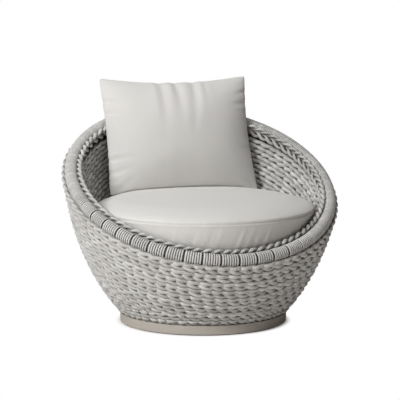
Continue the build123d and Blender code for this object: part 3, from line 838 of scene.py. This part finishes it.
# Waves of the cloth across the seam: height, place over the seam and spread
PLEATS, RIPPLES = (0.0029, -0.062, 0.040), (0.0014, 0.030, 0.030)
SEAM_LINES = ((-0.0040, 0.0, 0.0030), (0.0010, 0.007, 0.005), (0.0010, -0.007, 0.005))
# Ridges round the cushion in pleats and ripples: count and width
PLEAT_RIDGES, RIPPLE_RIDGES = (150, 0.017), (40, 0.05)
# Turn of pleats and ripples along the cloth, and angle over which pleats fade beside the zip
PLEAT_TURN, RIPPLE_TURN, PLEAT_FADE = -0.8, 0.3, 0.25
# Rolled edge: height, place over the seam, and length over which it fades towards the pillow
ROLL_HEIGHT, ROLL_PLACE, ROLL_FADE = 0.006, 0.022, 0.15
# Groove for the zip: depth, margin and slope beside it, angle past its ends and fade there
ZIP_DEPTH, ZIP_MARGIN, ZIP_SLOPE, ZIP_PAST, ZIP_FADE = 0.0032, 0.006, 0.004, 0.03, 0.02
# Depth of the foam under the cover
FOAM_DEPTH = 0.008


def cushion_profile(soft, bowl, counts):
    """Half outline from the middle of the foot round to the top, in steps on foot, side and crown.

    Also gives how far along the cloth each point and the seam lie.
    """
    foot = bowl.seat_top + TOUCH
    top = soft.seam_height + soft.crown
    seam = np.array((soft.seam_radius, soft.seam_height))
    base = np.array((soft.seam_radius - soft.foot_draw, foot))
    on_foot, on_side, on_shoulder, on_crown = OUTLINE_POINTS

    def arc(first, mid, last, n):
        share = np.linspace(0, 1, n)[:, None]
        bow = mid - (first + last) / 2
        return first + (last - first) * share + bow * 4 * share * (1 - share)

    bow = (soft.top_radius**2 + soft.top_drop**2) / (2 * soft.top_drop)
    shoulder = np.array((soft.top_radius, top - soft.top_drop))
    lean = soft.top_radius / (bow - soft.top_drop)
    chord = seam - shoulder
    turn = math.atan2(-chord[1], chord[0]) - math.atan(lean)
    normal = np.array((-chord[1], chord[0])) / np.hypot(*chord)
    mid = (shoulder + seam) / 2 + normal * np.hypot(*chord) / 2 * math.tan(turn / 2)
    radius = np.linspace(soft.top_radius, 0, on_crown)
    parts = [
        np.stack((np.linspace(0, base[0], on_foot), np.full(on_foot, foot)), 1),
        arc(base, (seam + base) / 2 + (soft.side_draw, 0), seam, on_side),
        arc(seam, mid, shoulder, on_shoulder),
        np.stack((radius, top - bow + np.sqrt(bow**2 - radius**2)), 1),
    ]
    line = np.concatenate([parts[0]] + [part[1:] for part in parts[1:]])
    walk = walked(line)
    seam_walk = walk[on_foot + on_side - 2]
    ends = (0, walk[on_foot - 1], seam_walk + CROWN_START, walk[-1])
    runs = [np.linspace(a, b, n, endpoint=False) for a, b, n in zip(ends, ends[1:], counts)]
    at = np.concatenate((*runs, walk[-1:]))
    return read_at(at, walk, line), at, seam_walk


def dome_height(soft, bowl, x, y):
    """Height of the seat cushion's top over a place."""
    profile, at, seam = cushion_profile(soft, bowl, HEIGHT_STEPS)
    crown = profile[at > seam][::-1]
    return np.interp(np.hypot(x, y), crown[:, 0], crown[:, 1], right=0.0)


def soft_ridges(angle, rng, count, sharp):
    """Sum of smooth ridges at scattered angles."""
    total = np.zeros_like(angle)
    for _ in range(count):
        centre = rng.random() * 2 * math.pi
        width = sharp * (RIDGE_LEAST + RIDGE_SPREAD * rng.random())
        away = (angle - centre + math.pi) % (2 * math.pi) - math.pi
        total += (rng.random() - RIDGE_BELOW) * np.exp(-((away / width) ** 2))
    return total


def wave(past, height, place, spread):
    """Smooth wave along the cloth, by the distance past the seam."""
    return height * np.exp(-(((past - place) / spread) ** 2))


def cover_push(soft, bowl, angle, walk, seam, radius, height):
    """How far the cover stands out: pleats, ripples, the sewn seam, the rolled edge and the zip's groove."""
    rng = np.random.default_rng(3)
    past = walk - seam
    behind = np.abs((angle - math.pi / 2 + math.pi) % (2 * math.pi) - math.pi)
    free = np.clip((behind - soft.zip_half) / PLEAT_FADE, 0, 1)
    push = wave(past, *PLEATS) * free * soft_ridges(angle + PLEAT_TURN * past, rng, *PLEAT_RIDGES)
    push += wave(past, *RIPPLES) * soft_ridges(angle + RIPPLE_TURN * walk, rng, *RIPPLE_RIDGES)
    for line in SEAM_LINES:
        push += wave(past, *line)
    clear = np.clip(1 - radius * np.sin(angle) / ROLL_FADE, 0, 1)
    inward = np.clip(past, 0, None) / ROLL_PLACE
    push += ROLL_HEIGHT * smooth(clear) * inward * np.exp(1 - inward)
    zip_middle = (bowl.seat_top + soft.seam_height + soft.zip_width) / 2
    beside = soft.zip_width / 2 + ZIP_MARGIN - np.abs(height - zip_middle)
    groove = np.clip(beside / ZIP_SLOPE, 0, 1) * (radius > soft.seam_radius - soft.foot_draw)
    groove *= np.clip((soft.zip_half + ZIP_PAST - behind) / ZIP_FADE, 0, 1)
    return push * (1 - groove) - ZIP_DEPTH * groove


class CHAIR_OT_seat_cushion(Operator):
    """Builds the round seat cushion with its seam and soft creases"""

    bl_idname = "chair.seat_cushion"
    bl_label = "Make Seat Cushion"

    def execute(self, context):
        soft, bowl = context.scene.chair_soft, context.scene.chair_bowl
        profile, at, seam = cushion_profile(soft, bowl, MESH_STEPS)
        angle, walk = np.meshgrid(np.linspace(0, 2 * math.pi, MESH_ROUND, endpoint=False), at)
        radius, height = (np.repeat(side[:, None], MESH_ROUND, 1) for side in profile.T)
        slope = np.gradient(profile, axis=0)
        normal = unit(np.stack((slope[:, 1], -slope[:, 0]), 1))
        thread = (
            np.where(walk > seam, radius * np.cos(angle), angle * soft.seam_radius),
            np.where(walk > seam, radius * np.sin(angle), height),
        )

        def moved(push):
            return radius + push * normal[:, :1], height + push * normal[:, 1:], angle

        cloth = material_of(fabric_material, "seat cloth", soft)
        push = cover_push(soft, bowl, angle, walk, seam, radius, height)
        cover = turned_piece("seat_cushion_soft", *moved(push), thread, cloth)
        take([cover], "seat_cushion", "seat_fabric", "seat_cushion_cover")
        foam = material_of(coat_material, "cut foam", soft.foam, 0.9, grain=260.0, depth=0.001)
        coarse = [side[::2, ::4] for side in (*moved(-FOAM_DEPTH), *thread)]
        core = turned_piece("seat_cushion_foam", *coarse[:3], coarse[3:], foam)
        take([core], "seat_cushion", "foam", "seat_cushion_core")
        return {"FINISHED"}


def turned_piece(name, radius, height, angle, thread, material):
    """Closed mesh turned from rings, with its two small ends capped."""
    rows, around = radius.shape
    verts = np.stack((radius * np.cos(angle), radius * np.sin(angle), height), -1)[1:-1].reshape(-1, 3)
    row = np.arange(rows - 3)[:, None] * around
    col = np.arange(around)[None]
    nxt = (col + 1) % around
    quads = np.stack((row + col, row + nxt, row + around + nxt, row + around + col), -1).reshape(-1, 4)
    u, v = (side[1:-1] for side in thread)
    corner = [(slice(0, -1), 0), (slice(0, -1), 1), (slice(1, None), 1), (slice(1, None), 0)]
    uv = np.stack([np.stack((np.roll(u, -s, 1)[r], np.roll(v, -s, 1)[r]), -1) for r, s in corner], 2)
    obj = grid_object(name, verts, quads, uv.reshape(-1, 2), material)
    close_caps(obj, around, len(verts))
    return obj


def close_caps(obj, round_count, total):
    """Closes the two small round openings of a turned mesh."""
    work = bmesh.new()
    work.from_mesh(obj.data)
    work.verts.ensure_lookup_table()
    rings = [(start, work.verts[start : start + round_count]) for start in (0, total - round_count)]
    for start, ring in rings:
        middle = work.verts.new(sum((v.co for v in ring), Vector()) / round_count)
        for k in range(round_count):
            pair = (ring[k], ring[(k + 1) % round_count])
            work.faces.new((pair[1], pair[0], middle) if start == 0 else (pair[0], pair[1], middle))
    bmesh.ops.recalc_face_normals(work, faces=work.faces)
    for face in work.faces:
        face.smooth = True
    work.to_mesh(obj.data)
    work.free()


# Back pillow

# Points across and up a sheet, its cut size over the finished size, and its bow as cut
SHEET_POINTS, SHEET_CUT, SHEET_BOW = (72, 58), 1.05, 0.002
# Start of the simulation: share of the cut size, swell of a sheet, and frames
START_SHARE, START_SWELL, SWELL_FRAMES = 0.95, 0.055, 26
# Drawn dome: fullness towards the top and sides, towards the foot, and of the whole
DOME_EDGE, DOME_FOOT, DOME_POWER = 2.4, 3.6, 0.6
# Rounds of smoothing of the simulated swell, and its share in the form
BLOWN_ROUNDS, BLOWN_SHARE = 12, 0.4
# Folds at the edges: their share of the depth, and the place where it is read
EDGE_FOLD, EDGE_PLACE = 0.6, 0.9
# Outline in the photo: fall of the top and its slant, half width gained and its taper, shift and its slant
TOP_FALL, TOP_SLANT = 0.0053, 0.0023
HALF_GAIN, HALF_TAPER = 0.0041, 0.0019
SIDE_SHIFT, SIDE_SLANT = 0.0037, 0.0038
# Rounding of the corners: share that is lost at the tip, and sharpness
CORNER_LOSS, CORNER_POWER = 0.02, 24
# Gap to the seat cushion, and depth of the wadding under the cover
PILLOW_GAP, WADDING_DEPTH = 0.0008, 0.003
# Height and place of the ridges beside a fold, over its depth and width, and how it runs out at its ends
RIDGE_SHARE, RIDGE_PLACE, FOLD_FADE, FOLD_START = 0.55, 1.9, 1.1, 6
# Folds: start and end in shares of the half width and height, width and depth in metres
PILLOW_FOLDS = (
    (-0.19, 0.98, -0.27, -0.10, 0.015, 0.0038),
    (0.01, 0.98, 0.01, 0.40, 0.012, 0.0034),
    (0.26, 0.98, 0.13, -0.12, 0.015, 0.0040),
    (0.40, 0.98, 0.36, 0.60, 0.010, 0.0020),
    (-1.0, 0.62, -0.72, 0.50, 0.007, 0.0034),
    (-1.0, 0.38, -0.74, 0.40, 0.007, 0.0028),
    (-1.0, -0.42, -0.68, -0.34, 0.008, 0.0034),
    (-1.0, -0.66, -0.66, -0.50, 0.008, 0.0036),
    (-0.94, -0.96, -0.62, -0.66, 0.009, 0.0036),
    (1.0, 0.72, 0.74, 0.62, 0.007, 0.0034),
    (1.0, 0.50, 0.70, 0.47, 0.008, 0.0036),
    (1.0, 0.22, 0.80, 0.20, 0.007, 0.0028),
    (1.0, -0.30, 0.78, -0.26, 0.008, 0.0024),
    (0.96, -0.94, 0.70, -0.62, 0.009, 0.0030),
)
# Cloth simulator: weight and stiffness of the cover
CLOTH_SETTINGS = {
    "quality": 6,
    "mass": 0.25,
    "tension_stiffness": 25,
    "compression_stiffness": 25,
    "shear_stiffness": 8,
    "bending_stiffness": 0.6,
    "use_pressure": True,
    "uniform_pressure_force": 4.0,
}


def read_vectors(vertices, key):
    """Places or normals of a mesh's points, a row each."""
    values = np.empty(len(vertices) * 3, np.float32)
    vertices.foreach_get(key, values)
    return values.reshape(-1, 3)


def pillow_sheets(soft):
    """Points of the two sewn sheets at the start and as cut, and their faces."""
    across, up = SHEET_POINTS
    u, v = np.meshgrid(np.linspace(-0.5, 0.5, across), np.linspace(-0.5, 0.5, up))
    ring = np.sqrt((1 - (2 * u) ** 2) * (1 - (2 * v) ** 2))
    wide, high = soft.pillow_width * SHEET_CUT, soft.pillow_height * SHEET_CUT
    cut = np.stack((u * wide, -SHEET_BOW * ring, v * high), -1)
    start = cut * (START_SHARE, 1, START_SHARE)
    start[..., 1] -= START_SWELL * ring
    index = np.arange(across * up).reshape(up, across)
    back_index = index.copy()
    inner = np.s_[1:-1, 1:-1]
    back_index[inner] = across * up + np.arange((up - 2) * (across - 2)).reshape(up - 2, across - 2)
    quads = []
    for grid, order in ((index, 1), (back_index, -1)):
        corners = (grid[:-1, :-1], grid[:-1, 1:], grid[1:, 1:], grid[1:, :-1])
        quads.append(np.stack(corners[::order], -1).reshape(-1, 4))

    def both(front):
        back = (front * (1, -1, 1))[inner]
        return np.concatenate((front.reshape(-1, 3), back.reshape(-1, 3)))

    return both(start), both(cut), np.concatenate(quads)


def pillow_folds(x, z, wide_half, high_half):
    """Depth of the folds that run in from the pillow's seams: a valley between two soft ridges."""
    total = np.zeros_like(x)
    for u0, v0, u1, v1, width, depth in PILLOW_FOLDS:
        start = np.array((u0 * wide_half, v0 * high_half))
        run = np.array((u1 * wide_half, v1 * high_half)) - start
        reach = np.hypot(*run)
        ahead = run / reach
        share = ((x - start[0]) * ahead[0] + (z - start[1]) * ahead[1]) / reach
        away = ((z - start[1]) * ahead[0] - (x - start[0]) * ahead[1]) / width
        fade = np.clip(1 - share, 0, 1) ** FOLD_FADE * np.clip(1 + FOLD_START * share, 0, 1)
        ridges = np.exp(-((away - RIDGE_PLACE) ** 2)) + np.exp(-((away + RIDGE_PLACE) ** 2))
        total += depth * fade * (RIDGE_SHARE * ridges - np.exp(-away * away))
    return total


def inflate(context, obj, rest):
    """Swells a sewn mesh with the cloth simulator, from its cut size, and keeps the result in the mesh."""
    obj.shape_key_add(name="Start")
    cut = obj.shape_key_add(name="Cut")
    cut.data.foreach_set("co", rest.astype(np.float32).ravel())
    cloth = obj.modifiers.new("Swell", "CLOTH")
    cloth.settings.rest_shape_key = cut
    for key, value in CLOTH_SETTINGS.items():
        setattr(cloth.settings, key, value)
    cloth.settings.effector_weights.gravity = 0
    cloth.collision_settings.use_collision = False
    cloth.point_cache.frame_start = 1
    cloth.point_cache.frame_end = SWELL_FRAMES
    for number in range(1, SWELL_FRAMES + 1):
        context.scene.frame_set(number)
    shaped = obj.evaluated_get(context.evaluated_depsgraph_get())
    points = read_vectors(shaped.data.vertices, "co")
    obj.modifiers.remove(cloth)
    obj.shape_key_clear()
    obj.data.vertices.foreach_set("co", points.ravel())
    obj.data.update()
    context.scene.frame_set(1)


def smoothed_swell(points):
    """Swell of the sheets from 0 to 1, smoothed, for the points of both."""
    across, up = SHEET_POINTS
    inner = np.s_[1:-1, 1:-1]
    blown = np.abs(points[: across * up, 1]).reshape(up, across)
    for _ in range(BLOWN_ROUNDS):
        blown[inner] = (blown[:-2, 1:-1] + blown[2:, 1:-1] + blown[1:-1, :-2] + blown[1:-1, 2:]) / 4
    return np.concatenate((blown.ravel(), blown[inner].ravel())) / blown.max()


def pillow_form(soft, rest, blown):
    """Points of the finished pillow, upright on its foot, from its cut sheets and their swell."""
    half = np.array((soft.pillow_width, soft.pillow_height)) / 2
    u, v = (rest[:, (0, 2)] / (SHEET_CUT * half)).T
    x, z = u * half[0], v * half[1]
    dome = (1 - np.abs(u) ** DOME_EDGE) * (1 - np.abs(v) ** np.where(v < 0, DOME_FOOT, DOME_EDGE))
    dome = np.clip(dome, 0, None) ** DOME_POWER
    bulk = soft.pillow_thickness / 2 * ((1 - BLOWN_SHARE) * dome + BLOWN_SHARE * blown)
    bulk += pillow_folds(x, z, *half) * np.clip(4 * dome, 0, 1)
    draw = np.where(u < 0, soft.draw_left, soft.draw_right) * (1 - v * v)
    draw -= EDGE_FOLD * pillow_folds(EDGE_PLACE * np.sign(u) * half[0], z, *half)
    top = half[1] - soft.draw_top * (1 - u * u) - TOP_FALL - TOP_SLANT * u
    top += EDGE_FOLD * pillow_folds(x, np.full_like(z, EDGE_PLACE * half[1]), *half)
    ear = 1 - CORNER_LOSS * np.abs(u * v) ** CORNER_POWER
    wide = half[0] + HALF_GAIN - HALF_TAPER * v - draw
    side = u * ear * wide + SIDE_SHIFT - SIDE_SLANT * v
    return side, np.sign(rest[:, 1]) * bulk, (top + half[1]) * (v * ear + 1) / 2


class CHAIR_OT_back_pillow(Operator):
    """Inflates the knife-edged back pillow from two sewn sheets"""

    bl_idname = "chair.back_pillow"
    bl_label = "Make Back Pillow"

    def execute(self, context):
        soft = context.scene.chair_soft
        start, rest, quads = pillow_sheets(soft)
        thread = rest[:, (0, 2)][quads.ravel()]
        cloth = material_of(fabric_material, "pillow cloth", soft)
        obj = grid_object("back_pillow_soft", start, quads, thread, cloth)
        inflate(context, obj, rest)
        blown = smoothed_swell(read_vectors(obj.data.vertices, "co").astype(float))
        side, out, high = pillow_form(soft, rest, blown)
        lean = soft.pillow_lean
        y = soft.pillow_setback + high * math.sin(lean) + out * math.cos(lean)
        z = soft.pillow_foot + high * math.cos(lean) - out * math.sin(lean)
        z = np.maximum(z, dome_height(soft, context.scene.chair_bowl, side, y) + PILLOW_GAP)
        placed = np.stack((side, y, z), 1)
        obj.data.vertices.foreach_set("co", placed.astype(np.float32).ravel())
        obj.data.update()
        finer = obj.modifiers.new("Finer", "SUBSURF")
        finer.levels = finer.render_levels = 1
        take([obj], "back_pillow", "pillow_fabric", "back_pillow_cover")
        within = placed - WADDING_DEPTH * read_vectors(obj.data.vertices, "normal")
        wad = material_of(coat_material, "wadding", soft.wadding, 0.9, grain=160.0, depth=0.002)
        core = grid_object("back_pillow_wadding", within, quads, thread, wad)
        take([core], "back_pillow", "filling", "back_pillow_filling")
        return {"FINISHED"}


class CHAIR_OT_finishes(Operator):
    """Paints the plinth, the pad, the frame and the fittings"""

    bl_idname = "chair.finishes"
    bl_label = "Paint Hard Pieces"

    def execute(self, context):
        tones = context.scene.chair_finish
        coats = {
            "plinth_paint": coat_material("plinth coat", tones.plinth, 0.46),
            # The frame coat is also painted shade in the binding's gaps.
            "frame_aluminium": coat_material("frame coat", tones.frame, 0.55),
            # The black rubber also stands in as painted shade under the plinth.
            "floor_rubber": coat_material("rubber", tones.rubber, 0.8, grain=1200.0, depth=0.0003),
            "plate_steel": coat_material("plated plate", tones.steel, 0.38, metallic=1.0, grain=300.0),
            "steel": coat_material("plated steel", tones.steel, 0.3, metallic=1.0, grain=500.0),
        }
        slots = {part["node"]: part["material_slot"] for part in frame["record"]["subparts"]}
        for name, obj in frame["nodes"].items():
            coat = coats.get(slots.get(name))
            if coat:
                obj.data.materials.clear()
                obj.data.materials.append(coat)
        return {"FINISHED"}


# Stage

# Half side of the floor
FLOOR_HALF = 12.0
# Lamps: name, place, diameter and power, and the point that they face
LAMPS = (
    ("key", (-3.2, -2.0, 2.7), 1.5, 148.0),
    ("front", (-1.8, -4.0, 1.5), 2.0, 12.0),
    ("top", (-0.3, 0.2, 3.8), 2.0, 46.0),
)
LAMP_AIM = Vector((0, 0, 0.4))
# Fill light of the room: colour and strength
FILL_TINT, FILL_STRENGTH = (1.0, 0.92, 0.84, 1), 0.10
# Camera of the photo: turn from the front, angle from above, distance, and what it faces
CAMERA_YAW, CAMERA_PITCH, CAMERA_AWAY = math.radians(-16.80), math.radians(8.10), 8.0
CAMERA_HEIGHT, CAMERA_RIGHT = 0.4362, -0.0114
# Lens and sensor in millimetres, and how far the camera sees
CAMERA_LENS, CAMERA_SENSOR, CAMERA_REACH = 200.36, 36.0, 60.0


def face(obj, place, direction):
    """Puts a lamp or camera at a place, looking in a direction."""
    obj.location = place
    obj.rotation_euler = direction.to_track_quat("-Z", "Y").to_euler()
    bpy.context.scene.collection.objects.link(obj)


def studio_world():
    """Soft fill light that the camera sees as white."""
    world = bpy.data.worlds.new("studio")
    world.use_nodes = True
    nodes, join = world.node_tree.nodes, world.node_tree.links.new
    ray, white, mixer = (nodes.new("ShaderNode" + kind) for kind in ("LightPath", "Background", "MixShader"))
    fill = nodes["Background"]
    fill.inputs["Color"].default_value = FILL_TINT
    fill.inputs["Strength"].default_value = FILL_STRENGTH
    white.inputs["Color"].default_value = (1, 1, 1, 1)
    join(ray.outputs["Is Camera Ray"], mixer.inputs[0])
    join(fill.outputs[0], mixer.inputs[1])
    join(white.outputs[0], mixer.inputs[2])
    join(mixer.outputs[0], nodes["World Output"].inputs["Surface"])
    return world


class CHAIR_OT_stage(Operator):
    """Sets the floor, the soft light and the camera"""

    bl_idname = "chair.stage"
    bl_label = "Set Stage"

    def execute(self, context):
        scene = context.scene
        scene.view_settings.view_transform = "Standard"
        scene.world = studio_world()
        corners = np.array(((-1, -1, 0), (1, -1, 0), (1, 1, 0), (-1, 1, 0)), float)
        face_corners = np.array(((0, 1, 2, 3),))
        floor = grid_object("floor", corners * FLOOR_HALF, face_corners, corners[:, :2], floor_material())
        for name, place, size, power in LAMPS:
            data = bpy.data.lights.new(name, "AREA")
            data.shape = "DISK"
            data.size = size
            data.energy = power
            lamp = bpy.data.objects.new(name, data)
            face(lamp, place, LAMP_AIM - Vector(place))
        data = bpy.data.cameras.new("camera")
        data.lens = CAMERA_LENS
        data.sensor_width = CAMERA_SENSOR
        data.clip_end = CAMERA_REACH
        scene.camera = bpy.data.objects.new("camera", data)
        right = Vector((math.cos(CAMERA_YAW), math.sin(CAMERA_YAW), 0))
        level = Vector((math.sin(CAMERA_YAW), -math.cos(CAMERA_YAW), 0))
        back = level * math.cos(CAMERA_PITCH) + Vector((0, 0, math.sin(CAMERA_PITCH)))
        aim = Vector((0, 0, CAMERA_HEIGHT)) + right * CAMERA_RIGHT
        face(scene.camera, aim + back * CAMERA_AWAY, -back)
        return {"FINISHED"}


class CHAIR_PT_panel(Panel):
    """Sizes, colours and building steps of the chair"""

    bl_label = "Swivel Chair"
    bl_idname = "CHAIR_PT_panel"
    bl_space_type = "VIEW_3D"
    bl_region_type = "UI"
    bl_category = "Chair"

    def draw(self, context):
        for step in STEPS:
            self.layout.operator(step.bl_idname)
        for group in GROUPS:
            box = self.layout.box()
            values = getattr(context.scene, group)
            for name in values.__annotations__:
                box.prop(values, name)


STEPS = (
    CHAIR_OT_finishes,
    CHAIR_OT_outer_wall,
    CHAIR_OT_inner_wall,
    CHAIR_OT_rim,
    CHAIR_OT_seat_cushion,
    CHAIR_OT_back_pillow,
    CHAIR_OT_stage,
)
GROUPS = {
    "chair_bowl": CHAIR_PG_bowl,
    "chair_rope": CHAIR_PG_rope,
    "chair_soft": CHAIR_PG_soft,
    "chair_finish": CHAIR_PG_finish,
}


def register():
    for kind in (*GROUPS.values(), *STEPS, CHAIR_PT_panel):
        bpy.utils.register_class(kind)
    for name, kind in GROUPS.items():
        setattr(bpy.types.Scene, name, PointerProperty(type=kind))


def unregister():
    for name in GROUPS:
        delattr(bpy.types.Scene, name)
    for kind in reversed((*GROUPS.values(), *STEPS, CHAIR_PT_panel)):
        bpy.utils.unregister_class(kind)


def main():
    register()
    for step in STEPS:
        if getattr(bpy.ops.chair, step.bl_idname.split(".")[1])() != {"FINISHED"}:
            raise RuntimeError(step.bl_idname + " did not finish")


if __name__ == "__main__":
    main()
